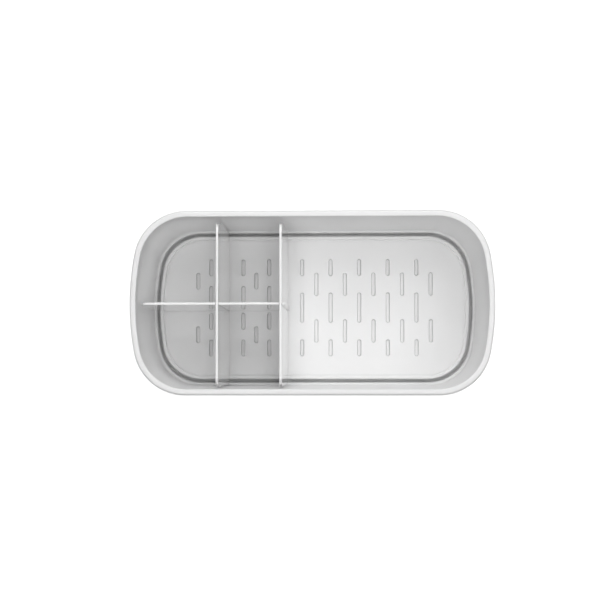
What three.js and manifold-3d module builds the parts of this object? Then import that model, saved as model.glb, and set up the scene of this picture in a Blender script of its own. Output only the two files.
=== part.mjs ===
// Bathroom organizer: an open moulded bin, a loose drain tray on its bottom, and three upright
// dividers that slot together and stand on the tray.
// Millimetres, +Z up, +X along the length. The origin is on the table, under the middle of the bin.
import * as THREE from 'three';
import { mergeVertices } from 'three/addons/utils/BufferGeometryUtils.js';
import { ParametricGeometry } from 'three/addons/geometries/ParametricGeometry.js';
import Module from 'manifold-3d';

const wasm = await Module();
wasm.setup();

// Overall sizes of the bin, over the rim and down to the table
const BIN_LENGTH = 270;
const BIN_WIDTH = 136.6;
const BIN_HEIGHT = 99;

// Plan outline of the rim: straight long sides, bowed ends, round corners. Further in, the corners
// get tighter by less than the inset.
const END_RADIUS = 194;
const CORNER_RADIUS = 38.6;
const CORNER_EASE = 0.33;

// Rim and walls
const RIM_WIDTH = 4.6;
const RIM_LIP_HEIGHT = 5;
const RIM_ROUND = 0.9;
const RIM_OUTER_ROUND = 2;
const WALL = 2.4;
const WALL_DRAFT = THREE.MathUtils.degToRad(0.9);

// Base: a raised platform for the tray, with a drain channel around it
const FOOT_STAND = 1.5;
const BASE_WALL = 2.3;
const BASE_ROUND = 6;
const CHANNEL_DEPTH = 5.2;
const CHANNEL_DRAFT = 0.3;
const CHANNEL_ROUND = 1.5;
const PLATFORM_ROUND = 0.8;

// Cove at the foot of the walls, which slopes down to the drain channel
const COVE_RISE = 2.6;
const COVE_WIDTH = 2.4;
const COVE_SLOPE = THREE.MathUtils.degToRad(65);
const COVE_ROUND = 4;
const COVE_EDGE_ROUND = 0.25;

// Drain tray
const TRAY_GAP = 2.83;
const TRAY_OVERHANG = 12.7;
const PLATE_THICKNESS = 1.6;
const LIP_WIDTH = 2.3;
const LIP_RISE = 2;
const LIP_ROUND = 0.3;
const TRAY_EDGE_ROUND = 0.4;

// Shallow gutter in the plate along the lip
const GUTTER_DEPTH = 0.5;
const GUTTER_WIDTH = 1.2;
const GUTTER_ROUND = 3;

// Drain slots under the small compartments, in columns that miss the dividers
const SLOT_WIDTH = 3.2;
const SLOT_END_MARGIN = 28;
const SLOT_SIDE_MARGIN = 12;
const CELL_SLOT_LENGTH = 13.5;
const CELL_COLUMN_PITCH = 10.45;
const CELL_ROW_PITCH = 21.6;
const CELL_FIRST_COLUMN = 12.9;

// Drain slots under the large compartment, in two kinds of column that take turns
const BAY_FIRST_COLUMN = 13.35;
const BAY_COLUMN_PITCH = 11.48;
const BAY_LONG_SLOT = 24.3;
const BAY_SHORT_SLOT = 13.5;
const BAY_SHORT_ROW = 32.3;
const BAY_PAIR_SLOT = 18.8;
const BAY_PAIR_ROW = 18.8;

// Dividers: the left compartment is measured from the bin's left end, and the set stands a little
// off the middle line.
const LEFT_CELL = 64.7;
const MIDDLE_CELL = 47.15;
const DIVIDER_SHIFT = -0.5;
const DIVIDER_DROP = 3;
const DIVIDER_TOP_THICKNESS = 1.7;
const DIVIDER_BASE_THICKNESS = 4.4;
const DIVIDER_CORNER = 7;
const END_SLOPE_HEIGHT = 16;
const END_SLOPE_WIDTH = 3.2;
const END_SLOPE_ROUND = 25;
const END_TAB = 2;
const END_TAB_ROUND = 1;
const LAP_DEPTH = 12;

// Non-slip feet
const FOOT_DIAMETER = 12;
const FOOT_RECESS = 0.8;
const FOOT_ROUND = 0.5;

// Clearances
const SEAT_GAP = 0.3;
const FOOT_CLEARANCE = 0.3;
const LAP_CLEARANCE = 0.3;
const LIP_CLEARANCE = 0.5;
const DIVIDER_FOOT_GAP = 1.2;
const DIVIDER_WALL_GAP = 1.35;

// Fineness of the curves: straight steps, or divisions of two steps each
const END_STEPS = 6;
const CORNER_STEPS = 9;
const FILLET_DIVISIONS = 1;
const PANEL_CORNER_DIVISIONS = 2;
const SLOT_END_DIVISIONS = 3;
const ROUND_STEPS = 24;

// Heights that follow from the sizes above
const CHANNEL_FLOOR = FOOT_STAND + BASE_WALL;
const PLATFORM_TOP = CHANNEL_FLOOR + CHANNEL_DEPTH;
const COVE_EDGE = PLATFORM_TOP + COVE_RISE;
const COVE_TOP = COVE_EDGE + COVE_WIDTH / Math.tan(COVE_SLOPE);
const TRAY_BOTTOM = PLATFORM_TOP + SEAT_GAP;
const PLATE_TOP = TRAY_BOTTOM + PLATE_THICKNESS;
const LIP_TOP = PLATE_TOP + LIP_RISE;
const DIVIDER_BOTTOM = PLATE_TOP + SEAT_GAP;
const DIVIDER_TOP = BIN_HEIGHT - DIVIDER_DROP;
const NOTCH_TOP = LIP_TOP + LIP_CLEARANCE;
const LAP_FLOOR = DIVIDER_TOP - LAP_DEPTH;
const LAP_CEILING = LAP_FLOOR + LAP_CLEARANCE;

// Distances in from the rim's outline that follow from the sizes above
const wallInset = (z) => RIM_WIDTH + (BIN_HEIGHT - z) * Math.tan(WALL_DRAFT);
const CHANNEL_INSET = wallInset(COVE_TOP) + COVE_WIDTH;
const TRAY_INSET = CHANNEL_INSET + TRAY_GAP;
const LIP_INNER_INSET = TRAY_INSET + LIP_WIDTH;
const PLATFORM_INSET = TRAY_INSET + TRAY_OVERHANG;
const RECESS_INSET = PLATFORM_INSET + BASE_WALL;
const GUTTER_INSET = LIP_INNER_INSET + GUTTER_WIDTH;
const DIVIDER_FOOT_INSET = LIP_INNER_INSET + DIVIDER_FOOT_GAP;
const DIVIDER_END_INSET = wallInset(NOTCH_TOP) + DIVIDER_WALL_GAP;

// Places of the cross dividers along the bin
const CROSS_LEFT_X = LEFT_CELL - BIN_LENGTH / 2;
const CROSS_RIGHT_X = CROSS_LEFT_X + MIDDLE_CELL;

// Place of the end arcs' centres along the bin
const END_CENTRE_X = BIN_LENGTH / 2 - END_RADIUS;

const plastic = (color) => new THREE.MeshStandardMaterial({ color, roughness: 0.38, metalness: 0 });
const WHITE = 0xf3f3f2;
const RUBBER_GREY = 0x8d8f90;

// The corner arc of the outline after an inset. It touches the straight side and the end arc.
function cornerArc(inset) {
  const radius = CORNER_RADIUS - inset * (1 - CORNER_EASE);
  const y = BIN_WIDTH / 2 - inset - radius;
  const x = END_CENTRE_X + Math.sqrt((END_RADIUS - inset - radius) ** 2 - y ** 2);
  return { x, y, radius, blend: Math.atan2(y, x - END_CENTRE_X) };
}

// Points along an arc.
function arcPoints(x, y, radius, from, to, steps) {
  const points = [];
  for (let i = 0; i <= steps; i += 1) {
    const angle = from + ((to - from) * i) / steps;
    points.push(new THREE.Vector2(x + radius * Math.cos(angle), y + radius * Math.sin(angle)));
  }
  return points;
}

// All points round the outline after an inset, counter-clockwise. The end arcs leave out their two
// end points, which the corner arcs hold.
function outlinePoints(inset) {
  const { x, y, radius, blend } = cornerArc(inset);
  const end = (sign, from, to) =>
    arcPoints(sign * END_CENTRE_X, 0, END_RADIUS - inset, from, to, END_STEPS).slice(1, -1);
  const corner = (signX, signY, from, to) => arcPoints(signX * x, signY * y, radius, from, to, CORNER_STEPS);
  return [
    ...end(1, -blend, blend),
    ...corner(1, 1, blend, Math.PI / 2),
    ...corner(-1, 1, Math.PI / 2, Math.PI - blend),
    ...end(-1, Math.PI - blend, Math.PI + blend),
    ...corner(-1, -1, Math.PI + blend, Math.PI * 1.5),
    ...corner(1, -1, Math.PI * 1.5, Math.PI * 2 - blend),
  ];
}

// Half the width of the outline at a place along the length, after an inset.
function sideReach(x, inset) {
  const arc = cornerArc(inset);
  const past = Math.max(0, Math.abs(x) - arc.x);
  return arc.y + Math.sqrt(arc.radius ** 2 - past ** 2);
}

// Half the length of the outline on the middle line, after an inset.
const endReach = (inset) => BIN_LENGTH / 2 - inset;

// Draws straight lines through the corners [x, y, radius]. A corner with a radius becomes an arc.
function traceRounded(path, corners) {
  const point = ([x, y]) => new THREE.Vector2(x, y);
  path.moveTo(corners[0][0], corners[0][1]);
  corners.slice(1).forEach((corner, k) => {
    const here = point(corner);
    const radius = corner[2] ?? 0;
    if (radius === 0) {
      path.lineTo(here.x, here.y);
      return;
    }
    const back = point(corners[k]).sub(here).normalize();
    const ahead = point(corners[k + 2]).sub(here).normalize();
    const half = Math.acos(back.dot(ahead)) / 2;
    const middle = back.clone().add(ahead).normalize();
    const centre = here.clone().addScaledVector(middle, radius / Math.sin(half));
    const start = here.clone().addScaledVector(back, radius / Math.tan(half));
    const end = here.clone().addScaledVector(ahead, radius / Math.tan(half));
    if (path.curves.length === 0) {
      path.lineTo(start.x, start.y);
    }
    const [from, to] = [start.sub(centre).angle(), end.sub(centre).angle()];
    path.absarc(centre.x, centre.y, radius, from, to, back.cross(ahead) > 0);
  });
  return path;
}

// Joins shared vertices and drops the triangles that closed up to nothing.
function weld(geometry) {
  geometry.deleteAttribute('normal');
  geometry.deleteAttribute('uv');
  const welded = mergeVertices(geometry);
  const index = welded.getIndex();
  const kept = [];
  for (let i = 0; i < index.count; i += 3) {
    const [a, b, c] = [index.getX(i), index.getX(i + 1), index.getX(i + 2)];
    if (a !== b && b !== c && c !== a) {
      kept.push(a, b, c);
    }
  }
  welded.setIndex(kept);
  welded.computeVertexNormals();
  return welded;
}

// Carries a profile of [inset, height] points round the plan outline. The profile runs from the
// axis along the underside, up the outside and back over the top to the axis.
function sweepRound(corners) {
  const profile = traceRounded(new THREE.Path(), corners).getPoints(FILLET_DIVISIONS);
  const rings = profile.map((point) => outlinePoints(point.x));
  const places = rings[0].length;
  const lastRow = profile.length + 1;
  const surface = (u, v, target) => {
    const row = Math.round(v * lastRow);
    const ring = THREE.MathUtils.clamp(row - 1, 0, profile.length - 1);
    const height = profile[ring].y;
    if (row === 0 || row === lastRow) {
      target.set(0, 0, height);
      return;
    }
    const point = rings[ring][Math.round(u * places) % places];
    target.set(point.x, point.y, height);
  };
  return weld(new ParametricGeometry(surface, places, lastRow));
}

const toSolid = (geometry) => new wasm.Manifold(new wasm.Mesh({
  numProp: 3,
  vertProperties: new Float32Array(geometry.getAttribute('position').array),
  triVerts: new Uint32Array(geometry.getIndex().array),
}));

function fromSolid(solid) {
  const mesh = solid.getMesh();
  const geometry = new THREE.BufferGeometry();
  geometry.setAttribute('position', new THREE.BufferAttribute(mesh.vertProperties, 3));
  geometry.setIndex(new THREE.BufferAttribute(mesh.triVerts, 1));
  geometry.computeVertexNormals();
  return geometry;
}

function cutAll(geometry, cutters) {
  const cut = (solid, cutter) => solid.subtract(toSolid(weld(cutter)));
  return fromSolid(cutters.reduce(cut, toSolid(geometry)));
}

// The feet sit at the middle of each corner, in the middle of the flat ring under the channel.
function footPlaces() {
  const ringOuter = wallInset(FOOT_STAND) - WALL + BASE_ROUND;
  const ringInner = RECESS_INSET - CHANNEL_ROUND;
  const arc = cornerArc((ringOuter + ringInner) / 2);
  const angle = (arc.blend + Math.PI / 2) / 2;
  const x = arc.x + arc.radius * Math.cos(angle);
  const y = arc.y + arc.radius * Math.sin(angle);
  return {
    front_left: [-x, -y],
    front_right: [x, -y],
    back_left: [-x, y],
    back_right: [x, y],
  };
}

// Bin body: one wall thickness all over, with shallow round recesses for the feet.
function binGeometry() {
  const outsideInset = (z) => wallInset(z) - WALL;
  const lipBottom = BIN_HEIGHT - RIM_LIP_HEIGHT;
  const ceiling = PLATFORM_TOP - BASE_WALL;
  const shell = sweepRound([
    [RECESS_INSET + CHANNEL_ROUND * 2, ceiling],
    [RECESS_INSET, ceiling, CHANNEL_ROUND],
    [RECESS_INSET, FOOT_STAND, CHANNEL_ROUND],
    [outsideInset(FOOT_STAND), FOOT_STAND, BASE_ROUND],
    [outsideInset(lipBottom), lipBottom],
    [0, lipBottom, RIM_ROUND],
    [0, BIN_HEIGHT, RIM_OUTER_ROUND],
    [RIM_WIDTH, BIN_HEIGHT, RIM_ROUND],
    [wallInset(COVE_TOP), COVE_TOP, COVE_ROUND],
    [CHANNEL_INSET, COVE_EDGE, COVE_EDGE_ROUND],
    [CHANNEL_INSET + CHANNEL_DRAFT, CHANNEL_FLOOR, CHANNEL_ROUND],
    [PLATFORM_INSET - CHANNEL_DRAFT, CHANNEL_FLOOR, CHANNEL_ROUND],
    [PLATFORM_INSET, PLATFORM_TOP, PLATFORM_ROUND],
    [PLATFORM_INSET + PLATFORM_ROUND * 2, PLATFORM_TOP],
  ]);
  const recessRadius = FOOT_DIAMETER / 2 + FOOT_CLEARANCE;
  const recesses = Object.values(footPlaces()).map(([x, y]) => {
    const cutter = new THREE.CylinderGeometry(recessRadius, recessRadius, FOOT_RECESS * 2, ROUND_STEPS);
    return cutter.rotateX(Math.PI / 2).translate(x, y, FOOT_STAND);
  });
  return cutAll(shell, recesses);
}

// Outline of one drain slot, lying across the bin with half-round ends.
function slotCutter(x, y, length) {
  const radius = SLOT_WIDTH / 2;
  const straight = length / 2 - radius;
  const outline = new THREE.Shape();
  outline.absarc(0, straight, radius, 0, Math.PI);
  outline.absarc(0, -straight, radius, Math.PI, Math.PI * 2);
  const depth = PLATE_THICKNESS * 3;
  const options = { depth, bevelEnabled: false, curveSegments: SLOT_END_DIVISIONS };
  const cutter = new THREE.ExtrudeGeometry(outline, options);
  return cutter.translate(x, y, TRAY_BOTTOM - PLATE_THICKNESS);
}

// Slots of the small compartments: columns of full rows take turns with columns of half-step rows.
function cellSlots() {
  const slots = [];
  const sideLimit = BIN_WIDTH / 2 - TRAY_INSET - SLOT_SIDE_MARGIN - CELL_SLOT_LENGTH / 2;
  const addColumn = (x, shift) => {
    for (let row = CELL_ROW_PITCH * shift; row <= sideLimit; row += CELL_ROW_PITCH) {
      slots.push(slotCutter(x, row, CELL_SLOT_LENGTH), slotCutter(x, -row, CELL_SLOT_LENGTH));
    }
  };
  const leftLimit = SLOT_END_MARGIN - endReach(TRAY_INSET);
  let x = CROSS_LEFT_X - CELL_FIRST_COLUMN;
  for (let column = 0; x >= leftLimit; column += 1) {
    addColumn(x, column % 2 === 0 ? 0.5 : 1);
    x -= CELL_COLUMN_PITCH;
  }
  const middle = (CROSS_LEFT_X + CROSS_RIGHT_X) / 2;
  addColumn(middle - CELL_COLUMN_PITCH, 0.5);
  addColumn(middle, 1);
  addColumn(middle + CELL_COLUMN_PITCH, 0.5);
  return slots;
}

// Slots of the large compartment: short, long, short, and then a pair, in turn.
function baySlots() {
  const slots = [];
  const rightLimit = endReach(TRAY_INSET) - SLOT_END_MARGIN;
  let x = CROSS_RIGHT_X + BAY_FIRST_COLUMN;
  for (let column = 0; x <= rightLimit; column += 1) {
    if (column % 2 === 0) {
      slots.push(slotCutter(x, 0, BAY_LONG_SLOT));
      slots.push(slotCutter(x, BAY_SHORT_ROW, BAY_SHORT_SLOT), slotCutter(x, -BAY_SHORT_ROW, BAY_SHORT_SLOT));
    } else {
      slots.push(slotCutter(x, BAY_PAIR_ROW, BAY_PAIR_SLOT), slotCutter(x, -BAY_PAIR_ROW, BAY_PAIR_SLOT));
    }
    x += BAY_COLUMN_PITCH;
  }
  return slots;
}

// Drain tray: a flat plate with a gutter and a raised lip all round, cut through by the slots.
function trayGeometry() {
  const plate = sweepRound([
    [LIP_INNER_INSET, TRAY_BOTTOM],
    [TRAY_INSET, TRAY_BOTTOM, TRAY_EDGE_ROUND],
    [TRAY_INSET, LIP_TOP, LIP_ROUND],
    [LIP_INNER_INSET, LIP_TOP, LIP_ROUND],
    [LIP_INNER_INSET, PLATE_TOP - GUTTER_DEPTH],
    [GUTTER_INSET, PLATE_TOP, GUTTER_ROUND],
    [GUTTER_INSET + GUTTER_ROUND, PLATE_TOP],
  ]);
  return cutAll(plate, [...cellSlots(), ...baySlots()]);
}

// Thickness of every divider at a height: thick at the foot, thin at the top.
function dividerThickness(z) {
  const share = (z - DIVIDER_BOTTOM) / (DIVIDER_TOP - DIVIDER_BOTTOM);
  return THREE.MathUtils.lerp(DIVIDER_BASE_THICKNESS, DIVIDER_TOP_THICKNESS, share);
}

// Stands an outline of [along, height, radius] corners upright and gives it the tapered thickness.
function panelGeometry(corners) {
  const outline = traceRounded(new THREE.Shape(), corners);
  const options = { depth: 1, bevelEnabled: false, curveSegments: PANEL_CORNER_DIVISIONS };
  const geometry = new THREE.ExtrudeGeometry(outline, options);
  geometry.translate(0, 0, -0.5).rotateX(Math.PI / 2);
  const position = geometry.getAttribute('position');
  for (let i = 0; i < position.count; i += 1) {
    position.setY(i, position.getY(i) * dividerThickness(position.getZ(i)));
  }
  return weld(geometry);
}

// End of a divider at a wall, upward from the notch: it leans out with the wall and then slopes in to
// the top.
function wallEnd(end) {
  const slopeFoot = DIVIDER_TOP - END_SLOPE_HEIGHT;
  const leaned = end + (slopeFoot - NOTCH_TOP) * Math.tan(WALL_DRAFT);
  return [
    [end, NOTCH_TOP],
    [leaned, slopeFoot, END_SLOPE_ROUND],
    [leaned - END_SLOPE_WIDTH, DIVIDER_TOP, DIVIDER_CORNER],
  ];
}

const mirrored = (corners) => corners.map(([along, ...rest]) => [-along, ...rest]).reverse();

// Long divider: from the left end wall to just past the right cross divider. Its slots open upward
// and let the thickest part of a cross divider that passes through them go by.
function longDividerGeometry() {
  const slotHalf = dividerThickness(LAP_FLOOR) / 2 + LAP_CLEARANCE;
  const footEnd = -endReach(DIVIDER_FOOT_INSET);
  const rightEnd = CROSS_RIGHT_X + slotHalf + END_TAB;
  const slot = (x) => [
    [x + slotHalf, DIVIDER_TOP],
    [x + slotHalf, LAP_FLOOR],
    [x - slotHalf, LAP_FLOOR],
    [x - slotHalf, DIVIDER_TOP],
  ];
  return panelGeometry([
    [footEnd, DIVIDER_BOTTOM],
    [rightEnd, DIVIDER_BOTTOM],
    [rightEnd, DIVIDER_TOP, END_TAB_ROUND],
    ...slot(CROSS_RIGHT_X),
    ...slot(CROSS_LEFT_X),
    ...mirrored(wallEnd(endReach(DIVIDER_END_INSET))),
    [footEnd, NOTCH_TOP],
  ]);
}

// Cross divider at a place along the bin: from wall to wall, notched over the tray's lip. Its slot
// opens downward and follows the long divider's taper.
function crossDividerGeometry(x) {
  const slotHalf = (z) => dividerThickness(z) / 2 + LAP_CLEARANCE;
  const foot = sideReach(x, DIVIDER_FOOT_INSET);
  const rightHalf = [
    [slotHalf(LAP_CEILING), LAP_CEILING],
    [slotHalf(DIVIDER_BOTTOM), DIVIDER_BOTTOM],
    [foot, DIVIDER_BOTTOM],
    [foot, NOTCH_TOP],
    ...wallEnd(sideReach(x, DIVIDER_END_INSET)),
  ];
  return panelGeometry([...rightHalf, ...mirrored(rightHalf)]);
}

// Foot: a round pad with a softened lower edge, seated in its recess.
function footGeometry() {
  const radius = FOOT_DIAMETER / 2;
  const height = FOOT_STAND + FOOT_RECESS - SEAT_GAP;
  const profile = traceRounded(new THREE.Path(), [
    [0, 0],
    [radius, 0, FOOT_ROUND],
    [radius, height],
    [0, height],
  ]);
  const pad = new THREE.LatheGeometry(profile.getPoints(FILLET_DIVISIONS), ROUND_STEPS);
  return weld(pad.rotateX(Math.PI / 2));
}

function namedMesh(name, geometry, material) {
  const mesh = new THREE.Mesh(geometry, material);
  mesh.name = name;
  return mesh;
}

function crossDivider(name, x) {
  const mesh = namedMesh(name, crossDividerGeometry(x), plastic(WHITE));
  mesh.rotation.z = Math.PI / 2;
  mesh.position.x = x;
  return mesh;
}

// The set of dividers, which stands in the bin as one.
function dividerSet() {
  const set = new THREE.Group();
  set.add(namedMesh('long_divider', longDividerGeometry(), plastic(WHITE)));
  set.add(crossDivider('cross_divider_left', CROSS_LEFT_X));
  set.add(crossDivider('cross_divider_right', CROSS_RIGHT_X));
  set.position.y = DIVIDER_SHIFT;
  return set;
}

const organizer = new THREE.Group();
organizer.add(namedMesh('bin_body', binGeometry(), plastic(WHITE)));
organizer.add(namedMesh('drain_tray', trayGeometry(), plastic(WHITE)));
organizer.add(dividerSet());
Object.entries(footPlaces()).forEach(([corner, [x, y]]) => {
  const rubber = new THREE.MeshStandardMaterial({ color: RUBBER_GREY, roughness: 0.8, metalness: 0 });
  const foot = namedMesh(`foot_${corner}`, footGeometry(), rubber);
  foot.position.set(x, y, 0);
  organizer.add(foot);
});

export default organizer;
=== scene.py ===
"""Bathroom organizer: the looks of its bin, drain tray, dividers and feet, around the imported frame.

Shapes are worked out in millimetres, +Z up and +X along the bin, and written in metres.
"""

import logging
import math
from abc import ABC, abstractmethod
from collections.abc import Sequence
from dataclasses import dataclass
from enum import Enum

import bmesh
import bpy
import numpy as np
from bpy.types import Material, Mesh, Node, NodeSocket, NodeTree, Object
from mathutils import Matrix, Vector
from mathutils.geometry import delaunay_2d_cdt


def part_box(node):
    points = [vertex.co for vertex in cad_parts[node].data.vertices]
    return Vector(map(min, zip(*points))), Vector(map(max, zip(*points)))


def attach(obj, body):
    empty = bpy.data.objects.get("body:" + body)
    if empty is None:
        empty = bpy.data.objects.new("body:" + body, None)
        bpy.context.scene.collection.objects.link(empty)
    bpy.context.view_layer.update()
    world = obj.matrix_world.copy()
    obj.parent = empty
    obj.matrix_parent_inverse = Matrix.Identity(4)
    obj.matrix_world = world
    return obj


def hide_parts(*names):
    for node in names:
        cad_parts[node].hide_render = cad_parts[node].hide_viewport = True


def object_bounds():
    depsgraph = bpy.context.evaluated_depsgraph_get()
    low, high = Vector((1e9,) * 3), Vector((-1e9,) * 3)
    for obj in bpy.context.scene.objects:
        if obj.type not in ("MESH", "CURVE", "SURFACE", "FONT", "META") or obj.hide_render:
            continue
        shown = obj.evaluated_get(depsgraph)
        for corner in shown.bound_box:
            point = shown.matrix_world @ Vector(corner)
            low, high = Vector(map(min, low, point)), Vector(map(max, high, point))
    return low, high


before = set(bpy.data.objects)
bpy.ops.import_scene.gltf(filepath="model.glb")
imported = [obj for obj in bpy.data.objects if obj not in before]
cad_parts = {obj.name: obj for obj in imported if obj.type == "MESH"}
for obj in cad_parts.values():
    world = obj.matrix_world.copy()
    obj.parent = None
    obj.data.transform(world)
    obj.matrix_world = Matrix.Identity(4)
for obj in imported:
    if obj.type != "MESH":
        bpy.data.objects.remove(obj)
cad_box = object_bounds()

log = logging.getLogger("organizer")

MM = 0.001

Corner = tuple[float, float, float]


class Body(Enum):
    """The bodies that pieces ride on."""

    BIN = "bin"
    TRAY = "tray"
    LONG_PANEL = "long_panel"
    LEFT_PANEL = "left_panel"
    RIGHT_PANEL = "right_panel"


class Slot(Enum):
    """The material slots of the record."""

    BIN = "bin_plastic"
    TRAY = "tray_plastic"
    DIVIDER = "divider_plastic"
    FOOT = "foot_rubber"


class FootCorner(Enum):
    """The corner of the bin that a foot stands under."""

    FRONT_LEFT = "front_left"
    FRONT_RIGHT = "front_right"
    BACK_LEFT = "back_left"
    BACK_RIGHT = "back_right"


def node_box(node: str) -> tuple[np.ndarray, np.ndarray]:
    """Gives a frame node's lowest and highest corner at rest, in millimetres."""
    low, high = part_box(node)
    return np.array(low) / MM, np.array(high) / MM


# Curves and surfaces


GUARD = 0.22
GUARD_SHARE = 0.25
SHORTEST_STEP = 1e-6
SHORTEST_BISECTOR = 1e-9
INSIDE_CONSTRAINTS = 1
CROSSING_LIMIT = 1e-7
WELD_DISTANCE = 2e-6
HALF_TURN = (-1, -1, 1)


def rounded_line(corners: Sequence[Corner], steps: int, closed: bool = False) -> np.ndarray:
    """Draws straight lines through corners, with an arc in place of each corner that has a radius.

    An arc touches both of its lines at radius / tan(half the angle between them). Its centre lies
    on their bisector at radius / sin(half), and it is stepped evenly in angle. A guard point stands
    on each line close to the arc, so that smooth shading keeps to the round.

    Args:
        corners: Corners as (first coordinate, second coordinate, radius).
        steps: Straight steps of each arc.
        closed: Whether the last corner joins the first; otherwise both end corners stay sharp.

    Returns:
        The points, one row each.
    """
    table = np.array(corners, float)
    points, radii = table[:, :2], table[:, 2]
    ahead = np.roll(points, -1, axis=0) - points
    length = np.linalg.norm(ahead, axis=1)
    ahead /= length[:, None]
    back = -np.roll(ahead, 1, axis=0)
    half = np.arccos(np.clip((back * ahead).sum(axis=1), -1, 1)) / 2
    if not closed:
        radii[[0, -1]] = 0
    reach = radii / np.tan(half)
    spare = np.maximum(length - reach - np.roll(reach, -1), 0)
    guard_ahead = np.minimum(GUARD, GUARD_SHARE * spare)
    guard_back = np.roll(guard_ahead, 1)
    bisector = back + ahead
    bisector /= np.maximum(np.linalg.norm(bisector, axis=1), SHORTEST_BISECTOR)[:, None]
    turn_sign = np.sign(back[:, 1] * ahead[:, 0] - back[:, 0] * ahead[:, 1])
    pieces = []
    for k, radius in enumerate(radii):
        if radius == 0:
            pieces.append(points[k : k + 1])
            continue
        centre = points[k] + bisector[k] * radius / math.sin(half[k])
        start = points[k] + back[k] * reach[k]
        first = math.atan2(*(start - centre)[::-1])
        angles = first + turn_sign[k] * np.linspace(0, math.pi - 2 * half[k], steps + 1)
        arc = centre + radius * np.stack([np.cos(angles), np.sin(angles)], axis=1)
        pieces.append(start[None] + back[k] * guard_back[k])
        pieces.append(arc)
        pieces.append(arc[-1:] + ahead[k] * guard_ahead[k])
    line = np.concatenate(pieces)
    kept = np.linalg.norm(line - np.roll(line, 1, axis=0), axis=1) > SHORTEST_STEP
    kept[0] = True
    return line[kept]


@dataclass
class Surface:
    """A mesh in the making.

    Attributes:
        points: Points in millimetres, one row each.
        faces: Arrays of point numbers, each with one face per row and the same number of corners.
    """

    points: np.ndarray
    faces: list[np.ndarray]

    @classmethod
    def grid(cls, rows: np.ndarray, first_pole: bool = False, last_pole: bool = False) -> "Surface":
        """Skins rings of points that close on themselves.

        The normal of a face is the way along its ring crossed with the way to the next ring. A pole
        closes the first or last ring with a fan of triangles to the ring's mean point.

        Args:
            rows: Points as (ring, place along the ring, coordinate).
            first_pole: Whether the first ring is closed.
            last_pole: Whether the last ring is closed.

        Returns:
            The surface.
        """
        ring_count, size = rows.shape[:2]
        index = np.arange(ring_count * size).reshape(ring_count, size)
        beside = np.roll(index, -1, axis=1)
        quads = np.stack([index[:-1], beside[:-1], beside[1:], index[1:]], axis=-1).reshape(-1, 4)
        points, faces = rows.reshape(-1, 3), [quads]
        poles = [(first_pole, 0, beside, index), (last_pole, -1, index, beside)]
        for wanted, ring, start, stop in poles:
            if wanted:
                pole = np.full(size, len(points))
                faces.append(np.stack([pole, start[ring], stop[ring]], axis=-1))
                points = np.vstack([points, rows[ring].mean(axis=0)])
        return cls(points, faces)

    @classmethod
    def flat(cls, loops: Sequence[np.ndarray], height: float, faces_up: bool = True) -> "Surface":
        """Fills the level area inside the first loop and outside the others with triangles.

        The other loops bulge outwards everywhere, so a triangle with all its corners on one of them
        fills a hole and is dropped.

        Args:
            loops: Closed loops of (x, y) points.
            height: Height of the area.
            faces_up: Whether the area faces up; otherwise it faces down.

        Returns:
            The surface.
        """
        points = np.concatenate(loops)
        owner = np.repeat(np.arange(len(loops)), [len(loop) for loop in loops])
        places = [np.flatnonzero(owner == loop) for loop in range(len(loops))]
        ahead = np.concatenate([np.roll(place, -1) for place in places])
        edges = np.column_stack([np.arange(len(points)), ahead])
        plan = [Vector(point) for point in points.tolist()]
        found = delaunay_2d_cdt(plan, edges.tolist(), [], INSIDE_CONSTRAINTS, CROSSING_LIMIT)
        if len(found[0]) != len(points):
            raise ValueError("loops of a flat area cross each other")
        triangles = np.array(found[2])
        owners = owner[triangles]
        fills_hole = (owners[:, 0] > 0) & (owners == owners[:, :1]).all(axis=1)
        triangles = triangles[~fills_hole]
        if not faces_up:
            triangles = triangles[:, ::-1]
        raised = np.column_stack([points, np.full(len(points), height)])
        return cls(raised, [triangles])

    @classmethod
    def joined(cls, parts: Sequence["Surface"]) -> "Surface":
        """Puts several surfaces in one.

        Args:
            parts: The surfaces.

        Returns:
            One surface with all their points and faces.
        """
        firsts = np.cumsum([0] + [len(part.points) for part in parts[:-1]])
        faces = [array + first for part, first in zip(parts, firsts) for array in part.faces]
        return cls(np.concatenate([part.points for part in parts]), faces)

    def to_object(self, name: str) -> Object:
        """Writes the surface to a new smooth mesh object at the origin, and welds its seams.

        Args:
            name: Name of the object.

        Returns:
            The object.
        """
        mesh = bpy.data.meshes.new(name)
        mesh.vertices.add(len(self.points))
        mesh.vertices.foreach_set("co", (self.points * MM).astype(np.float32).ravel())
        totals = np.concatenate([np.full(len(array), array.shape[1]) for array in self.faces])
        loops = np.concatenate([array.ravel() for array in self.faces])
        mesh.loops.add(len(loops))
        mesh.loops.foreach_set("vertex_index", loops.astype(np.int32))
        mesh.polygons.add(len(totals))
        mesh.polygons.foreach_set("loop_start", (np.cumsum(totals) - totals).astype(np.int32))
        mesh.polygons.foreach_set("loop_total", totals.astype(np.int32))
        mesh.update(calc_edges=True)
        weld(mesh)
        mesh.polygons.foreach_set("use_smooth", np.ones(len(mesh.polygons), bool))
        piece = bpy.data.objects.new(name, mesh)
        bpy.context.scene.collection.objects.link(piece)
        return piece


def weld(mesh: Mesh) -> None:
    """Merges the points of a mesh that lie in the same place.

    Args:
        mesh: The mesh.
    """
    work = bmesh.new()
    work.from_mesh(mesh)
    bmesh.ops.remove_doubles(work, verts=work.verts, dist=WELD_DISTANCE)
    work.to_mesh(mesh)
    work.free()


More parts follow.
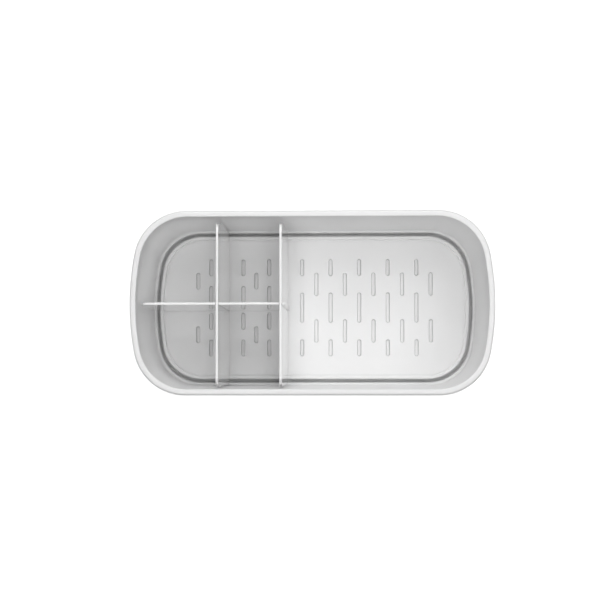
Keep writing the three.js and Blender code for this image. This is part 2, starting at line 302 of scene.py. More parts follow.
@dataclass(frozen=True)
class Outline:
    """Plan outline of the bin's rim: straight long sides, bowed ends and round corners.

    The end arcs keep their centres when the outline is drawn in by an inset. The corner arcs touch
    the sides and the ends, and get tighter by less than the inset.
    """

    length: float
    width: float
    end_radius: float = 194.0
    corner_radius: float = 38.6
    corner_ease: float = 0.33
    end_steps: int = 28
    corner_steps: int = 36
    side_steps: int = 20

    @property
    def end_centre(self) -> float:
        """Distance of the right end's centre along X."""
        return self.length / 2 - self.end_radius

    def corner(self, inset: np.ndarray | float) -> tuple[np.ndarray, ...]:
        """Places the corner arc at the right back after an inset.

        Args:
            inset: The inset, or an array of insets.

        Returns:
            The arc's centre along X and Y, its radius, and the angle where the end arc meets it.
        """
        radius = self.corner_radius - inset * (1 - self.corner_ease)
        y = self.width / 2 - inset - radius
        past = np.sqrt((self.end_radius - inset - radius) ** 2 - y**2)
        return self.end_centre + past, y, radius, np.arctan2(y, past)

    def carry(self, profile: np.ndarray) -> np.ndarray:
        """Carries a profile round the outline, counter-clockwise.

        A point is an arc's centre + its radius * (cos angle, sin angle), at the profile's height.
        Along the straight sides the centre moves from one corner to the other. The second half of
        the way is the first half after half a turn.

        Args:
            profile: Points of (inset, height).

        Returns:
            Points as (profile point, place round the outline, coordinate).
        """
        inset = profile[:, :1]
        x, y, radius, blend = self.corner(inset)
        far, end, quarter = self.end_centre, self.end_radius - inset, math.pi / 2
        stretches = [
            (far, far, 0, end, -blend, blend, self.end_steps),
            (x, x, y, radius, blend, quarter, self.corner_steps),
            (x, -x, y, radius, quarter, quarter, self.side_steps),
            (-x, -x, y, radius, quarter, math.pi - blend, self.corner_steps),
        ]
        pieces = []
        for first_x, last_x, centre_y, reach, start, stop, steps in stretches:
            share = np.arange(steps) / steps
            eased = (1 - np.cos(math.pi * share)) / 2
            angle = start + (stop - start) * share
            across = first_x + (last_x - first_x) * eased + reach * np.cos(angle)
            away = centre_y + reach * np.sin(angle)
            height = np.broadcast_to(profile[:, 1:], away.shape)
            pieces.append(np.stack([across, away, height], axis=-1))
        half = np.concatenate(pieces, axis=1)
        return np.concatenate([half, half * HALF_TURN], axis=1)

    def side_reach(self, x: float, inset: float) -> float:
        """Half the width of the outline at a place along the length, after an inset."""
        corner_x, corner_y, radius, _ = self.corner(inset)
        return corner_y + math.sqrt(radius**2 - max(0.0, abs(x) - corner_x) ** 2)

    def end_reach(self, inset: float) -> float:
        """Half the length of the outline on the middle line, after an inset."""
        return self.length / 2 - inset


def lathe(profile: np.ndarray, centre: Sequence[float], steps: int) -> np.ndarray:
    """Turns a profile round an upright axis.

    A point is centre + radius * (cos angle, sin angle), at the profile's height.

    Args:
        profile: Points of (radius, height).
        centre: Place of the axis.
        steps: Places round the axis.

    Returns:
        Points as (profile point, place round the axis, coordinate).
    """
    angle = np.arange(steps) * 2 * math.pi / steps
    across = centre[0] + profile[:, :1] * np.cos(angle)
    away = centre[1] + profile[:, :1] * np.sin(angle)
    height = np.broadcast_to(profile[:, 1:], across.shape)
    return np.stack([across, away, height], axis=-1)


# Finishes


Colour = tuple[float, float, float]
Span = tuple[float, float]
Feed = NodeSocket | float | Colour

WHITE = (1.0, 1.0, 1.0)
FULL_SPAN = (0.0, 1.0)
NOISE_SPAN = (0.25, 0.75)


@dataclass(frozen=True)
class Nodes:
    """Adds nodes to the node tree of a material or a world."""

    tree: NodeTree

    def feed(self, socket: NodeSocket, value: Feed) -> None:
        """Links a value to an input, or sets a constant on it.

        Args:
            socket: The input.
            value: An output of another node, a number or a linear colour.
        """
        if isinstance(value, NodeSocket):
            self.tree.links.new(value, socket)
        else:
            socket.default_value = (*value, 1) if isinstance(value, tuple) else value

    def add(self, kind: str, inputs: dict[str | int, Feed], **settings: str) -> Node:
        """Adds a node, chooses its settings and feeds its inputs.

        Args:
            kind: Kind of the node.
            inputs: What the inputs get, by name or number.
            settings: The node's settings.

        Returns:
            The node.
        """
        node = self.tree.nodes.new(f"ShaderNode{kind}")
        for name, choice in settings.items():
            setattr(node, name, choice)
        for key, value in inputs.items():
            self.feed(node.inputs[key], value)
        return node

    def place(self) -> NodeSocket:
        """Adds the Object coordinates."""
        return self.add("TexCoord", {}).outputs["Object"]

    def noise(self, scale: float, detail: float = 1) -> NodeSocket:
        """Adds a noise of so many waves per metre, with octaves of finer noise, from 0 to 1."""
        inputs = {"Scale": scale, "Detail": detail, "Vector": self.place()}
        return self.add("TexNoise", inputs).outputs["Fac"]

    def spread(
        self, value: NodeSocket, target: Span = FULL_SPAN, source: Span = NOISE_SPAN
    ) -> NodeSocket:
        """Maps a value from one span, such as a noise's middle half, to another, and clamps it."""
        ends = zip(("From Min", "From Max", "To Min", "To Max"), (*source, *target))
        return self.add("MapRange", {"Value": value, **dict(ends)}).outputs["Result"]

    def blend(self, factor: NodeSocket, first: Feed, second: Feed) -> NodeSocket:
        """Mixes two colours: a factor of 0 gives the first, and 1 gives the second."""
        inputs = {"A": first, "B": second, "Factor": factor}
        return self.add("Mix", inputs, data_type="RGBA").outputs["Result"]

    def bump(self, height: NodeSocket, depth: float, under: NodeSocket | None = None) -> NodeSocket:
        """Adds a bump of a given depth.

        Args:
            height: Heights from 0 to 1.
            depth: Depth in millimetres.
            under: A coarser bump to add to.

        Returns:
            The bent normal.
        """
        inputs = {"Strength": 1.0, "Distance": depth * MM, "Height": height}
        if under is not None:
            inputs["Normal"] = under
        return self.add("Bump", inputs).outputs["Normal"]

    def seen(self, values: Span) -> NodeSocket:
        """Gives the second value to rays from the camera, and the first to all others."""
        camera = self.add("LightPath", {}).outputs["Is Camera Ray"]
        return self.spread(camera, values, FULL_SPAN)


@dataclass(frozen=True)
class Finish(ABC):
    """A surface finish with its own node material."""

    name: str

    def material(self) -> Material:
        """Gives the finish's material, made on first use.

        Returns:
            The material.
        """
        if self.name in bpy.data.materials:
            return bpy.data.materials[self.name]
        material = bpy.data.materials.new(self.name)
        material.use_nodes = True
        nodes = Nodes(material.node_tree)
        shader = material.node_tree.nodes["Principled BSDF"]
        for socket, value in self.feeds(nodes).items():
            nodes.feed(shader.inputs[socket], value)
        return material

    @abstractmethod
    def feeds(self, nodes: Nodes) -> dict[str, Feed]:
        """Adds the finish's nodes.

        Args:
            nodes: The material's nodes.

        Returns:
            What the inputs of the surface shader get.
        """


@dataclass(frozen=True)
class SatinPlastic(Finish):
    """White moulded plastic with a fine grain, a slight orange peel and faint clouds in its white.

    Attributes:
        white: Lightest colour, linear.
        cloud: Darkest colour, linear.
        roughness: Least and most roughness.
        grain_depth: Depth of the fine grain in millimetres.
        peel_depth: Depth of the orange peel in millimetres.
        coat: Share of a clear gloss over the plastic.
    """

    white: Colour = (0.905, 0.905, 0.905)
    cloud: Colour = (0.89, 0.89, 0.89)
    roughness: Span = (0.30, 0.36)
    grain_depth: float = 0.004
    peel_depth: float = 0.006
    cloud_scale: float = 22
    cloud_detail: float = 2
    grain_scale: float = 3800
    peel_scale: float = 420
    ior: float = 1.47
    coat: float = 0.0
    coat_roughness: float = 0.03

    def colour(self, nodes: Nodes) -> NodeSocket:
        """Adds the clouded white."""
        clouds = nodes.spread(nodes.noise(self.cloud_scale, self.cloud_detail))
        return nodes.blend(clouds, self.cloud, self.white)

    def feeds(self, nodes: Nodes) -> dict[str, Feed]:
        """Adds the colour, the grain and the orange peel.

        Args:
            nodes: The material's nodes.

        Returns:
            What the inputs of the surface shader get.
        """
        colour = self.colour(nodes)
        grain = nodes.noise(self.grain_scale)
        peel = nodes.bump(nodes.noise(self.peel_scale), self.peel_depth)
        return {
            "Base Color": colour,
            "Roughness": nodes.spread(grain, self.roughness),
            "Normal": nodes.bump(grain, self.grain_depth, peel),
            "IOR": self.ior,
            "Coat Weight": self.coat,
            "Coat Roughness": self.coat_roughness,
        }


@dataclass(frozen=True)
class ShadeBandPlastic(SatinPlastic):
    """Satin plastic with painted shade: a darker band at a height, a guess that stands for the shade
    of the slots' dark outlines and of the tray's outer side in the groove.

    Attributes:
        painted_shade: Colour of the painted shade band, linear.
        painted_shade_height: Height in millimetres of the painted shade band's middle.
        painted_shade_half: Half the height in millimetres over which the painted shade is seen.
        painted_shade_fade: Height in millimetres over which the painted shade fades out.
    """

    painted_shade: Colour = (0.52, 0.52, 0.52)
    painted_shade_height: float = 10.14
    painted_shade_half: float = 0.36
    painted_shade_fade: float = 0.15

    def colour(self, nodes: Nodes) -> NodeSocket:
        """Adds the clouded white, with the painted shade band across it.

        Args:
            nodes: The material's nodes.

        Returns:
            The colour.
        """
        clean = super().colour(nodes)
        # Painted shade: a darker band by Object Z that darkens the slot walls and the tray's outer
        # side below the plate.
        height = nodes.add("SeparateXYZ", {"Vector": nodes.place()}).outputs["Z"]
        away = nodes.add("Math", {0: height, 1: self.painted_shade_height * MM}, operation="SUBTRACT")
        apart = nodes.add("Math", {0: away.outputs["Value"]}, operation="ABSOLUTE")
        edge = ((self.painted_shade_half - self.painted_shade_fade) * MM, self.painted_shade_half * MM)
        return nodes.blend(nodes.spread(apart.outputs["Value"], source=edge), self.painted_shade, clean)


@dataclass(frozen=True)
class SoftRubber(Finish):
    """Grey rubber with a matt, slightly dusty grain."""

    light: Colour = (0.30, 0.31, 0.315)
    dark: Colour = (0.24, 0.245, 0.25)
    roughness: Span = (0.68, 0.86)
    grain_scale: float = 2600
    grain_detail: float = 3
    grain_depth: float = 0.02

    def feeds(self, nodes: Nodes) -> dict[str, Feed]:
        """Adds the grain, which sets colour, roughness and bumps.

        Args:
            nodes: The material's nodes.

        Returns:
            What the inputs of the surface shader get.
        """
        grain = nodes.noise(self.grain_scale, self.grain_detail)
        return {
            "Base Color": nodes.blend(nodes.spread(grain), self.dark, self.light),
            "Roughness": nodes.spread(grain, self.roughness),
            "Normal": nodes.bump(grain, self.grain_depth),
        }


@dataclass(frozen=True)
class StudioPaper(Finish):
    """Pale seamless paper that lights itself a little, so that it stays white round the bin."""

    pale: Colour = (0.62, 0.62, 0.62)
    shade: Colour = (0.60, 0.60, 0.60)
    roughness: float = 0.9
    specular: float = 0.1
    glow: float = 0.75
    cloud_scale: float = 3
    cloud_detail: float = 2

    def feeds(self, nodes: Nodes) -> dict[str, Feed]:
        """Adds the clouded colour, and a glow that only the camera sees.

        Args:
            nodes: The material's nodes.

        Returns:
            What the inputs of the surface shader get.
        """
        clouds = nodes.spread(nodes.noise(self.cloud_scale, self.cloud_detail))
        return {
            "Base Color": nodes.blend(clouds, self.shade, self.pale),
            "Roughness": self.roughness,
            "Specular IOR Level": self.specular,
            "Emission Color": WHITE,
            "Emission Strength": nodes.seen((0.0, self.glow)),
        }


BIN_FINISH = SatinPlastic("bin_satin_white")
# The tray's finish paints shade in a band on its slot walls and its outer side in the groove.
TRAY_FINISH = ShadeBandPlastic("tray_satin_white")
DIVIDER_FINISH = SatinPlastic(
    "divider_gloss_white", roughness=(0.03, 0.05), grain_depth=0.0, peel_depth=0.0005, coat=0.8
)
FOOT_FINISH = SoftRubber("foot_grey_rubber")
PAPER_FINISH = StudioPaper("studio_paper")


def dress(piece: Object, node: str, body: Body, finish: Finish) -> None:
    """Gives a piece its finish and ties it to the frame.

    Args:
        piece: The piece.
        node: The frame node that it stands for.
        body: The body that it moves with.
        finish: Its finish.
    """
    piece.data.materials.append(finish.material())
    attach(piece, body.value)
    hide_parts(node)
    log.info("%s: %d faces, on body %s", piece.name, len(piece.data.polygons), body.value)


# Bin


@dataclass
class BinShell:
    """The moulded bin: rim, drafted walls, drain channel and the raised platform for the tray."""

    outline: Outline
    height: float
    rim_width: float = 4.6
    rim_lip_height: float = 5.0
    rim_round: float = 0.9
    rim_outer_round: float = 2.0
    lip_root_round: float = 0.6
    wall: float = 2.4
    draft: float = math.radians(0.9)
    foot_stand: float = 1.5
    base_wall: float = 2.3
    base_round: float = 6.0
    channel_depth: float = 5.2
    channel_draft: float = 0.3
    channel_round: float = 1.5
    platform_round: float = 0.8
    platform_inset: float = 23.87
    cove_rise: float = 2.6
    cove_width: float = 2.4
    cove_slope: float = math.radians(65)
    cove_round: float = 4.0
    cove_edge_round: float = 0.25
    foot_recess: float = 0.8
    foot_clearance: float = 0.3
    foot_cup_round: float = 0.15
    ring_margin: float = 0.05
    recess_steps: int = 48
    cup_steps: int = 4
    round_steps: int = 8

    @classmethod
    def from_frame(cls) -> "BinShell":
        """Takes the overall sizes from the frame's bin."""
        low, high = node_box("bin_body")
        return cls(Outline(*(high - low)[:2]), high[2])

    @property
    def channel_floor(self) -> float:
        """Height of the drain channel's floor."""
        return self.foot_stand + self.base_wall

    @property
    def platform_top(self) -> float:
        """Height of the platform that the tray lies on."""
        return self.channel_floor + self.channel_depth

    @property
    def cove_edge(self) -> float:
        """Height of the drain channel's outer edge, where the cove at the walls' foot ends."""
        return self.platform_top + self.cove_rise

    @property
    def cove_top(self) -> float:
        """Height at which the walls' line meets the line of the cove's slope."""
        return self.cove_edge + self.cove_width / math.tan(self.cove_slope)

    @property
    def recess_inset(self) -> float:
        """Inset of the hollow under the platform."""
        return self.platform_inset + self.base_wall

    def wall_inset(self, z: float) -> float:
        """Inset of the walls' inner face at a height."""
        return self.rim_width + (self.height - z) * math.tan(self.draft)

    def outer_inset(self, z: float) -> float:
        """Inset of the walls' outer face at a height."""
        return self.wall_inset(z) - self.wall

    def ring_insets(self) -> tuple[float, float]:
        """Insets of the two edges of the flat ring that the feet are set in."""
        outer = self.outer_inset(self.foot_stand) + self.base_round + self.ring_margin
        return outer, self.recess_inset - self.channel_round - self.ring_margin

    def upper_profile(self) -> np.ndarray:
        """Draws the section from the underside up the outside, over the rim and in to the platform.

        Returns:
            Points of (inset, height).
        """
        lip_bottom = self.height - self.rim_lip_height
        floor, top, edge_top = self.channel_floor, self.platform_top, self.cove_edge
        wall_foot, edge = self.wall_inset(self.cove_top), self.platform_inset
        inner = wall_foot + self.cove_width
        corners = [
            (self.ring_insets()[0], self.foot_stand, 0),
            (self.outer_inset(self.foot_stand), self.foot_stand, self.base_round),
            (self.outer_inset(lip_bottom), lip_bottom, self.lip_root_round),
            (0, lip_bottom, self.rim_round),
            (0, self.height, self.rim_outer_round),
            (self.rim_width, self.height, self.rim_round),
            (wall_foot, self.cove_top, self.cove_round),
            (inner, edge_top, self.cove_edge_round),
            (inner + self.channel_draft, floor, self.channel_round),
            (edge - self.channel_draft, floor, self.channel_round),
            (edge, top, self.platform_round),
            (edge + self.platform_round * 2, top, 0),
        ]
        return rounded_line(corners, self.round_steps)

    def lower_profile(self) -> np.ndarray:
        """Draws the section of the hollow under the platform, from its ceiling out to the ring.

        Returns:
            Points of (inset, height).
        """
        ceiling = self.platform_top - self.base_wall
        corners = [
            (self.recess_inset + self.channel_round * 2, ceiling, 0),
            (self.recess_inset, ceiling, self.channel_round),
            (self.recess_inset, self.foot_stand, self.channel_round),
            (self.ring_insets()[1], self.foot_stand, 0),
        ]
        return rounded_line(corners, self.round_steps)

    def foot_cup(self, centre: np.ndarray, radius: float) -> np.ndarray:
        """Turns the shallow cup that a foot sits in, from its roof out and down to the ring.

        Args:
            centre: Place of the foot.
            radius: Radius of the foot.

        Returns:
            Points as (profile point, place round the axis, coordinate).
        """
        edge = radius + self.foot_clearance
        roof = self.foot_stand + self.foot_recess
        corners = [
            (edge / 2, roof, 0),
            (edge, roof, self.foot_cup_round),
            (edge, self.foot_stand, self.foot_cup_round),
            (edge + self.foot_cup_round + self.ring_margin, self.foot_stand, 0),
        ]
        return lathe(rounded_line(corners, self.cup_steps), centre, self.recess_steps)

    def build(self, feet: Sequence["FootPad"]) -> None:
        """Builds the bin around its feet.

        Args:
            feet: The feet, which set the places of the cups under the bin.
        """
        upper = self.outline.carry(self.upper_profile())
        lower = self.outline.carry(self.lower_profile())
        cups = [self.foot_cup(foot.centre, foot.radius) for foot in feet]
        loops = [upper[0, :, :2], lower[-1, :, :2], *[cup[-1, :, :2] for cup in cups]]
        surface = Surface.joined([
            Surface.grid(lower, first_pole=True),
            Surface.flat(loops, self.foot_stand, faces_up=False),
            *[Surface.grid(cup, first_pole=True) for cup in cups],
            Surface.grid(upper, last_pole=True),
        ])
        dress(surface.to_object("bin_shell"), "bin_body", Body.BIN, BIN_FINISH)


# Drain tray


@dataclass
class DrainTray:
    """The loose tray on the bottom: a plate with drain slots and a raised lip."""

    shell: BinShell
    bottom: float
    lip_top: float
    edge_inset: float
    left_cross: float
    right_cross: float
    lip_width: float = 2.3
    lip_rise: float = 2.0
    lip_round: float = 0.25
    gutter_depth: float = 0.49
    gutter_width: float = 1.2
    gutter_round: float = 3.0
    gutter_root: float = 0.15
    edge_round: float = 0.4
    rim_strip: float = 2.6
    slot_width: float = 3.2
    slot_flare: float = 0.1
    slot_draw: float = 0.7
    slot_top_round: float = 0.2
    slot_foot_round: float = 0.15
    slot_strip: float = 0.8
    slot_end_steps: int = 14
    end_margin: float = 28.0
    side_margin: float = 12.0
    cell_slot: float = 13.5
    cell_column_pitch: float = 10.45
    cell_row_pitch: float = 21.6
    cell_first_column: float = 12.9
    bay_first_column: float = 13.35
    bay_column_pitch: float = 11.48
    bay_long_slot: float = 24.3
    bay_short_slot: float = 13.5
    bay_short_row: float = 32.3
    bay_pair_slot: float = 18.8
    bay_pair_row: float = 18.8
    round_steps: int = 8

    @classmethod
    def from_frame(cls, shell: BinShell) -> "DrainTray":
        """Takes the tray's place and overall sizes, and the dividers' places, from the frame.

        Args:
            shell: The bin.

        Returns:
            The tray.
        """
        low, high = node_box("drain_tray")
        boxes = [node_box(f"cross_divider_{side}") for side in ("left", "right")]
        crosses = np.mean(boxes, axis=1)[:, 0]
        return cls(shell, low[2], high[2], shell.outline.length / 2 - high[0], *crosses)

    @property
    def plate_top(self) -> float:
        """Height of the plate's upper face."""
        return self.lip_top - self.lip_rise

    @property
    def lip_inner(self) -> float:
        """Inset of the lip's inner face."""
        return self.edge_inset + self.lip_width

    def slots(self) -> np.ndarray:
        """Lays out the drain slots.

        In the small compartments, columns of rows on half steps take turns with columns of rows on
        whole steps. In the large one, columns of a short, a long and a short slot take turns with
        pairs.

        Returns:
            Columns of x, y and length.
        """
        found = []
        half_width = self.shell.outline.width / 2
        reach = self.shell.outline.end_reach(self.edge_inset) - self.end_margin
        limit = half_width - self.edge_inset - self.side_margin - self.cell_slot / 2
        middle = (self.left_cross + self.right_cross) / 2
        pitch, row_pitch = self.cell_column_pitch, self.cell_row_pitch
        left_columns = np.arange(self.left_cross - self.cell_first_column, -reach, -pitch)
        cells = [(x, number % 2) for number, x in enumerate(left_columns)]
        cells += [(middle - pitch, 0), (middle, 1), (middle + pitch, 0)]
        for x, whole in cells:
            rows = np.arange(1.0 if whole else 0.5, limit / row_pitch) * row_pitch
            found += [(x, sign * row, self.cell_slot) for row in rows for sign in (1, -1)]
        first = self.right_cross + self.bay_first_column
        for number, x in enumerate(np.arange(first, reach, self.bay_column_pitch)):
            if number % 2:
                found += [(x, sign * self.bay_pair_row, self.bay_pair_slot) for sign in (1, -1)]
            else:
                found += [(x, sign * self.bay_short_row, self.bay_short_slot) for sign in (1, -1)]
                found.append((x, 0, self.bay_long_slot))
        return np.array(found)

    def slot_rings(self) -> np.ndarray:
        """Carries the slots' edge profile round every slot.

        A slot is two half circles joined by straight sides. A point is the slot's centre, plus or
        minus the half length of the sides along Y, plus (radius + offset) * (cos angle, sin angle).

        Returns:
            Points as (slot, profile point, place round the slot, coordinate).
        """
        wide = self.slot_strip
        corners = [
            (wide, self.plate_top, 0),
            (self.slot_flare, self.plate_top, self.slot_top_round),
            (-self.slot_draw, self.bottom, self.slot_foot_round),
            (wide, self.bottom, 0),
        ]
        offset, height = rounded_line(corners, self.round_steps).T
        arc = np.linspace(0, math.pi, self.slot_end_steps + 1)
        angle = np.concatenate([[0], arc, [math.pi, math.pi], arc + math.pi, [2 * math.pi]])
        none = np.zeros(len(arc))
        guard = np.concatenate([[GUARD], none, [GUARD, GUARD], none, [GUARD]])
        side = np.where(np.arange(len(angle)) < len(arc) + 2, 1.0, -1.0)
        x, y, length = self.slots().T[:, :, None, None]
        radius = self.slot_width / 2
        straight = length / 2 - radius
        reach = (radius + offset)[:, None]
        ring_x = x + reach * np.cos(angle)
        ring_y = y + side * (straight - guard) + reach * np.sin(angle)
        ring_z = np.broadcast_to(height[:, None], ring_x.shape)
        return np.stack([ring_x, ring_y, ring_z], axis=-1)

    def edge_profile(self) -> np.ndarray:
        """Draws the section of the tray's edge, from the underside round the lip to the flat plate.

        Returns:
            Points of (inset, height).
        """
        flat = self.lip_inner + self.rim_strip
        corners = [
            (flat, self.bottom, 0),
            (self.edge_inset, self.bottom, self.edge_round),
            (self.edge_inset, self.lip_top, self.lip_round),
            (self.lip_inner, self.lip_top, self.lip_round),
            (self.lip_inner, self.plate_top - self.gutter_depth, self.gutter_root),
            (self.lip_inner + self.gutter_width, self.plate_top, self.gutter_round),
            (flat, self.plate_top, 0),
        ]
        return rounded_line(corners, self.round_steps)

    def build(self) -> None:
        """Builds the tray."""
        edge = self.shell.outline.carry(self.edge_profile())
        rings = self.slot_rings()
        top_loops = [edge[-1, :, :2], *rings[:, 0, :, :2]]
        foot_loops = [edge[0, :, :2], *rings[:, -1, :, :2]]
        surface = Surface.joined([
            Surface.grid(edge),
            *[Surface.grid(ring) for ring in rings],
            Surface.flat(top_loops, self.plate_top),
            Surface.flat(foot_loops, self.bottom, faces_up=False),
        ])
        dress(surface.to_object("slotted_tray"), "drain_tray", Body.TRAY, TRAY_FINISH)


# Dividers


def mirrored(corners: Sequence[Corner]) -> list[Corner]:
    """Mirrors corners in the middle of a panel, and turns their order round."""
    return [(-along, height, radius) for along, height, radius in reversed(corners)]


@dataclass
class Divider(ABC):
    """An upright panel that gets thinner towards its top, with softened edges.

    Attributes:
        tray: The tray that the panel stands on.
        node: The frame node that it stands for.
        low: Lowest corner of the node's box.
        high: Highest corner of the node's box.
    """

    tray: DrainTray
    node: str
    low: np.ndarray
    high: np.ndarray
    top_thickness: float = 1.7
    base_thickness: float = 4.4
    top_corner: float = 7.0
    end_slope_height: float = 16.0
    end_slope_width: float = 3.2
    end_slope_round: float = 25.0
    wall_gap: float = 1.35
    edge_round: float = 0.14
    edge_guard: float = 0.05
    small_corner: float = 0.2
    lap_depth: float = 12.0
    lap_clearance: float = 0.06
    lip_clearance: float = 0.5
    foot_gap: float = 1.2
    corner_steps: int = 12
    edge_steps: int = 5

    @classmethod
    def from_frame(cls, tray: DrainTray, node: str) -> "Divider":
        """Takes the place and overall sizes of a panel on the tray from its frame node."""
        return cls(tray, node, *node_box(node))

    @property
    def bottom(self) -> float:
        """Height of the panel's foot."""
        return self.low[2]

    @property
    def top(self) -> float:
        """Height of the panel's top edge."""
        return self.high[2]

    @property
    def middle(self) -> np.ndarray:
        """Middle of the panel's box."""
        return (self.low + self.high) / 2

    @property
    def notch_top(self) -> float:
        """Height of the notch that clears the tray's lip."""
        return self.tray.lip_top + self.lip_clearance

    @property
    def lap_floor(self) -> float:
        """Height of the half-lap slots' floors in the long divider."""
        return self.top - self.lap_depth

    @property
    def foot_inset(self) -> float:
        """Inset of the panel's foot, inside the tray's lip."""
        return self.tray.lip_inner + self.foot_gap

    @property
    def end_inset(self) -> float:
        """Inset of an end's foot at a wall."""
        return self.tray.shell.wall_inset(self.notch_top) + self.wall_gap

    def wall_end(self, end: float) -> list[Corner]:
        """Lists the corners of an end at a wall, upward.

        The end leans out with the wall, then slopes in to the top.

        Args:
            end: Distance of the end's foot along the panel, away from the middle.

        Returns:
            The corners as (place along, height, radius).
        """
        slope_foot = self.top - self.end_slope_height
        leaned = end + (slope_foot - self.notch_top) * math.tan(self.tray.shell.draft)
        return [
            (end, self.notch_top, self.small_corner),
            (leaned, slope_foot, self.end_slope_round),
            (leaned - self.end_slope_width, self.top, self.top_corner),
        ]

    def thickness(self, z: np.ndarray | float) -> np.ndarray | float:
        """Thickness of the panel at a height."""
        share = (z - self.bottom) / (self.top - self.bottom)
        return self.base_thickness + (self.top_thickness - self.base_thickness) * share

    @abstractmethod
    def corners(self) -> list[Corner]:
        """Lists the panel's outline counter-clockwise as (place along, height, radius)."""

    @abstractmethod
    def placed(self, along: np.ndarray, across: np.ndarray, height: np.ndarray) -> np.ndarray:
        """Puts distances along the panel and from its middle plane, and heights, in the bin."""

    def surface(self) -> Surface:
        """Carries a quarter-round edge round the outline on both faces, and fills the faces.

        A ring of the edge is the outline drawn in by round * (1 - sin angle), at half the thickness
        minus round * (1 - cos angle) from the middle plane.

        Returns:
            The panel's surface.
        """
        line = rounded_line(self.corners(), self.corner_steps, closed=True)
        ahead = np.roll(line, -1, axis=0) - line
        ahead /= np.linalg.norm(ahead, axis=1)[:, None]
        normal = np.stack([-ahead[:, 1], ahead[:, 0]], axis=1)
        mitre = normal + np.roll(normal, 1, axis=0)
        mitre *= 2 / (mitre**2).sum(axis=1)[:, None]
        turn = np.linspace(0, math.pi / 2, self.edge_steps + 1)
        soft = self.edge_round
        drawn_in = np.append(soft + self.edge_guard, soft * (1 - np.sin(turn)))
        sunk = np.append(0, soft * (1 - np.cos(turn)))
        rings = line + drawn_in[:, None, None] * mitre
        along, height = rings[..., 0], rings[..., 1]
        across = self.thickness(height) / 2 - sunk[:, None]
        front = self.placed(along, -across, height)
        back = self.placed(along, across, height)[::-1]
        edge = Surface.grid(np.concatenate([front, back])[::-1])
        triangles = Surface.flat([rings[0]], 0).faces[0]
        faces = [Surface(front[0], [triangles]), Surface(back[-1], [triangles[:, ::-1]])]
        return Surface.joined([edge, *faces])

    def build(self, name: str, body: Body) -> None:
        """Builds the divider as a named piece that moves with a body."""
        dress(self.surface().to_object(name), self.node, body, DIVIDER_FINISH)


@dataclass
class LongDivider(Divider):
    """The divider along the bin, from the left end wall to just past the right cross divider."""

    end_tab_round: float = 1.0

    def corners(self) -> list[Corner]:
        """Lists the outline, with two half-lap slots that open upward.

        Returns:
            The corners as (place along, height, radius).
        """
        slot_half = self.thickness(self.lap_floor) / 2 + self.lap_clearance
        foot_end = -self.tray.shell.outline.end_reach(self.foot_inset)
        left_end = self.wall_end(self.tray.shell.outline.end_reach(self.end_inset))
        right_end = self.high[0]
        soft = self.small_corner
        slot = [(1, self.top), (1, self.lap_floor), (-1, self.lap_floor), (-1, self.top)]
        slots = [
            (x + side * slot_half, height, soft)
            for x in (self.tray.right_cross, self.tray.left_cross)
            for side, height in slot
        ]
        return [
            (foot_end, self.bottom, soft),
            (right_end, self.bottom, soft),
            (right_end, self.top, self.end_tab_round),
            *slots,
            *mirrored(left_end),
            (foot_end, self.notch_top, soft),
        ]

    def placed(self, along: np.ndarray, across: np.ndarray, height: np.ndarray) -> np.ndarray:
        """Puts the panel along X."""
        return np.stack([along, self.middle[1] + across, height], axis=-1)


@dataclass
class CrossDivider(Divider):
    """A divider from wall to wall, notched over the tray's lip and lapped over the long divider."""

    def corners(self) -> list[Corner]:
        """Lists the outline, with one half-lap slot that opens downward and follows the taper.

        Returns:
            The corners as (place along, height, radius).
        """
        ceiling = self.lap_floor + self.lap_clearance
        foot = self.tray.shell.outline.side_reach(self.middle[0], self.foot_inset)
        end = self.tray.shell.outline.side_reach(self.middle[0], self.end_inset)
        soft = self.small_corner

        def slot_half(z: float) -> float:
            """Half the width of the slot at a height."""
            return self.thickness(z) / 2 + self.lap_clearance

        right = [
            (slot_half(ceiling), ceiling, soft),
            (slot_half(self.bottom), self.bottom, soft),
            (foot, self.bottom, soft),
            (foot, self.notch_top, soft),
            *self.wall_end(end),
        ]
        return right + mirrored(right)

    def placed(self, along: np.ndarray, across: np.ndarray, height: np.ndarray) -> np.ndarray:
        """Puts the panel along Y, at its place along the bin."""
        return np.stack([self.middle[0] - across, self.middle[1] + along, height], axis=-1)


# Feet


@dataclass
class FootPad:
    """A round non-slip foot with concentric grip grooves."""

    corner: FootCorner
    centre: np.ndarray
    radius: float
    top: float
    edge_round: float = 0.5
    top_round: float = 0.2
    sole_middle: float = 0.3
    groove_width: float = 0.7
    groove_floor: float = 0.42
    groove_depth: float = 0.35
    groove_round: float = 0.12
    groove_radii: tuple[float, ...] = (1.6, 3.0, 4.4)
    steps: int = 64
    round_steps: int = 5

    @classmethod
    def from_frame(cls, corner: FootCorner) -> "FootPad":
        """Takes the place and size of the foot under a corner from the frame."""
        low, high = node_box(f"foot_{corner.value}")
        return cls(corner, (low + high)[:2] / 2, (high - low)[0] / 2, high[2])

    def profile(self) -> np.ndarray:
        """Draws the section from the sole's middle out over its grooves, up the side and in on top.

        Returns:
            Points of (radius, height).
        """
        half, floor_half, depth = self.groove_width / 2, self.groove_floor / 2, self.groove_depth
        groove = [(-half, 0), (-floor_half, depth), (floor_half, depth), (half, 0)]
        grooves = [
            (middle + step, height, self.groove_round)
            for middle in self.groove_radii
            for step, height in groove
        ]
        corners = [
            (self.sole_middle, 0, 0),
            *grooves,
            (self.radius, 0, self.edge_round),
            (self.radius, self.top, self.top_round),
            (self.radius / 2, self.top, 0),
        ]
        return rounded_line(corners, self.round_steps)

    def build(self) -> None:
        """Builds the foot."""
        rings = lathe(self.profile(), self.centre, self.steps)
        surface = Surface.grid(rings, first_pole=True, last_pole=True)
        piece = surface.to_object(f"grip_foot_{self.corner.value}")
        dress(piece, f"foot_{self.corner.value}", Body.BIN, FOOT_FINISH)


# Studio


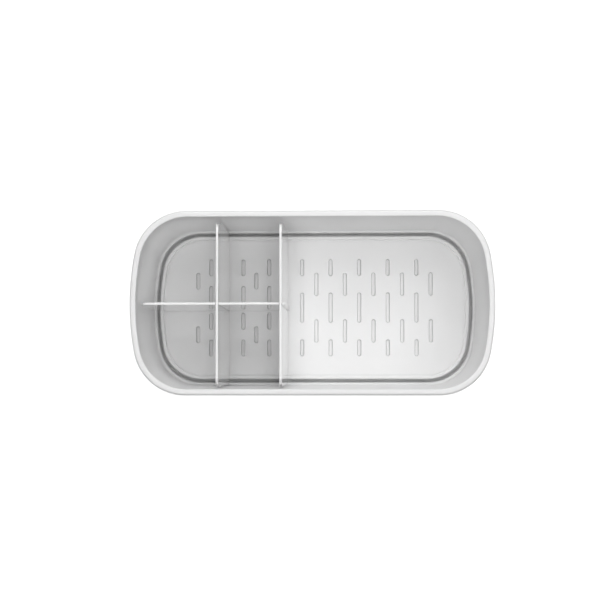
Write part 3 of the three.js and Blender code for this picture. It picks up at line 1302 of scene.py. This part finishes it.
@dataclass(frozen=True)
class SoftBox:
    """A large square lamp that faces the bin.

    Attributes:
        name: Name of the lamp.
        azimuth: Direction from the bin in degrees, counter-clockwise from +X.
        elevation: Height above the horizon in degrees.
        power: Power in watts.
        distance: Distance in metres.
        size: Length of its sides in metres.
    """

    name: str
    azimuth: float
    elevation: float
    power: float
    distance: float = 2.0
    size: float = 0.9

    def build(self, target: Vector) -> None:
        """Hangs the lamp.

        Args:
            target: The point that it faces.
        """
        lamp = bpy.data.lights.new(self.name, "AREA")
        lamp.size = self.size
        lamp.energy = self.power
        holder = bpy.data.objects.new(self.name, lamp)
        bpy.context.scene.collection.objects.link(holder)
        turn, rise = math.radians(self.azimuth), math.radians(self.elevation)
        level = math.cos(rise)
        way = Vector((math.cos(turn) * level, math.sin(turn) * level, math.sin(rise)))
        holder.location = target + way * self.distance
        holder.rotation_euler = way.to_track_quat("Z", "Y").to_euler()


@dataclass
class Studio:
    """Plain pale floor, soft light and the camera over the bin."""

    camera_place: tuple[float, float, float] = (22.14, -44.97, 1044.19)
    camera_tilt: tuple[float, float, float] = (0.0456, 0.0286, -0.0021)
    lens: float = 75.86
    sensor: float = 36.0
    floor_radius: float = 9000.0
    floor_rings: int = 24
    floor_places: int = 96
    backdrop: float = 1.0
    sky: float = 0.01
    bounces: int = 10
    lamps: tuple[SoftBox, ...] = (
        SoftBox("low_back_lamp", 90, 40, 10.3),
        SoftBox("back_lamp", 90, 60, 8.9),
        SoftBox("front_lamp", 270, 60, 8.4),
        SoftBox("right_lamp", 0, 60, 7.3),
        SoftBox("low_left_lamp", 180, 40, 4.4),
        SoftBox("right_back_lamp", 45, 50, 2.5),
        SoftBox("top_lamp", 0, 90, 4.4),
    )

    def build_camera(self) -> None:
        """Sets the camera that looks down on the bin."""
        data = bpy.data.cameras.new("camera")
        data.sensor_width = self.sensor
        data.lens = self.lens
        camera = bpy.data.objects.new("camera", data)
        camera.location = Vector(self.camera_place) * MM
        camera.rotation_mode = "ZYX"
        camera.rotation_euler = self.camera_tilt
        bpy.context.scene.collection.objects.link(camera)
        bpy.context.scene.camera = camera

    def build_floor(self) -> None:
        """Lays the floor: a level disc, with rings at even steps of the radius."""
        radius = self.floor_radius * np.arange(self.floor_rings, 0, -1) / self.floor_rings
        profile = np.column_stack([radius, np.zeros(self.floor_rings)])
        disc = lathe(profile, (0, 0), self.floor_places)
        floor = Surface.grid(disc, last_pole=True).to_object("floor")
        floor.data.materials.append(PAPER_FINISH.material())

    def build_light(self) -> None:
        """Lights the bin with soft lamps and a white sky."""
        low, high = cad_box
        target = (low + high) / 2
        for lamp in self.lamps:
            lamp.build(target)
        world = bpy.data.worlds.new("studio")
        world.use_nodes = True
        nodes = Nodes(world.node_tree)
        background = world.node_tree.nodes["Background"]
        nodes.feed(background.inputs["Color"], WHITE)
        nodes.feed(background.inputs["Strength"], nodes.seen((self.sky, self.backdrop)))
        bpy.context.scene.world = world
        bpy.context.scene.view_settings.view_transform = "Standard"
        bpy.context.scene.cycles.diffuse_bounces = self.bounces

    def build(self) -> None:
        """Builds camera, floor and light."""
        self.build_camera()
        self.build_floor()
        self.build_light()


def main() -> None:
    """Builds the organizer and its studio."""
    logging.basicConfig(level=logging.INFO, format="%(name)s: %(message)s")
    Studio().build()
    shell = BinShell.from_frame()
    feet = [FootPad.from_frame(corner) for corner in FootCorner]
    shell.build(feet)
    tray = DrainTray.from_frame(shell)
    tray.build()
    LongDivider.from_frame(tray, "long_divider").build("long_partition", Body.LONG_PANEL)
    CrossDivider.from_frame(tray, "cross_divider_left").build("left_partition", Body.LEFT_PANEL)
    CrossDivider.from_frame(tray, "cross_divider_right").build("right_partition", Body.RIGHT_PANEL)
    for foot in feet:
        foot.build()


if __name__ == "__main__":
    main()
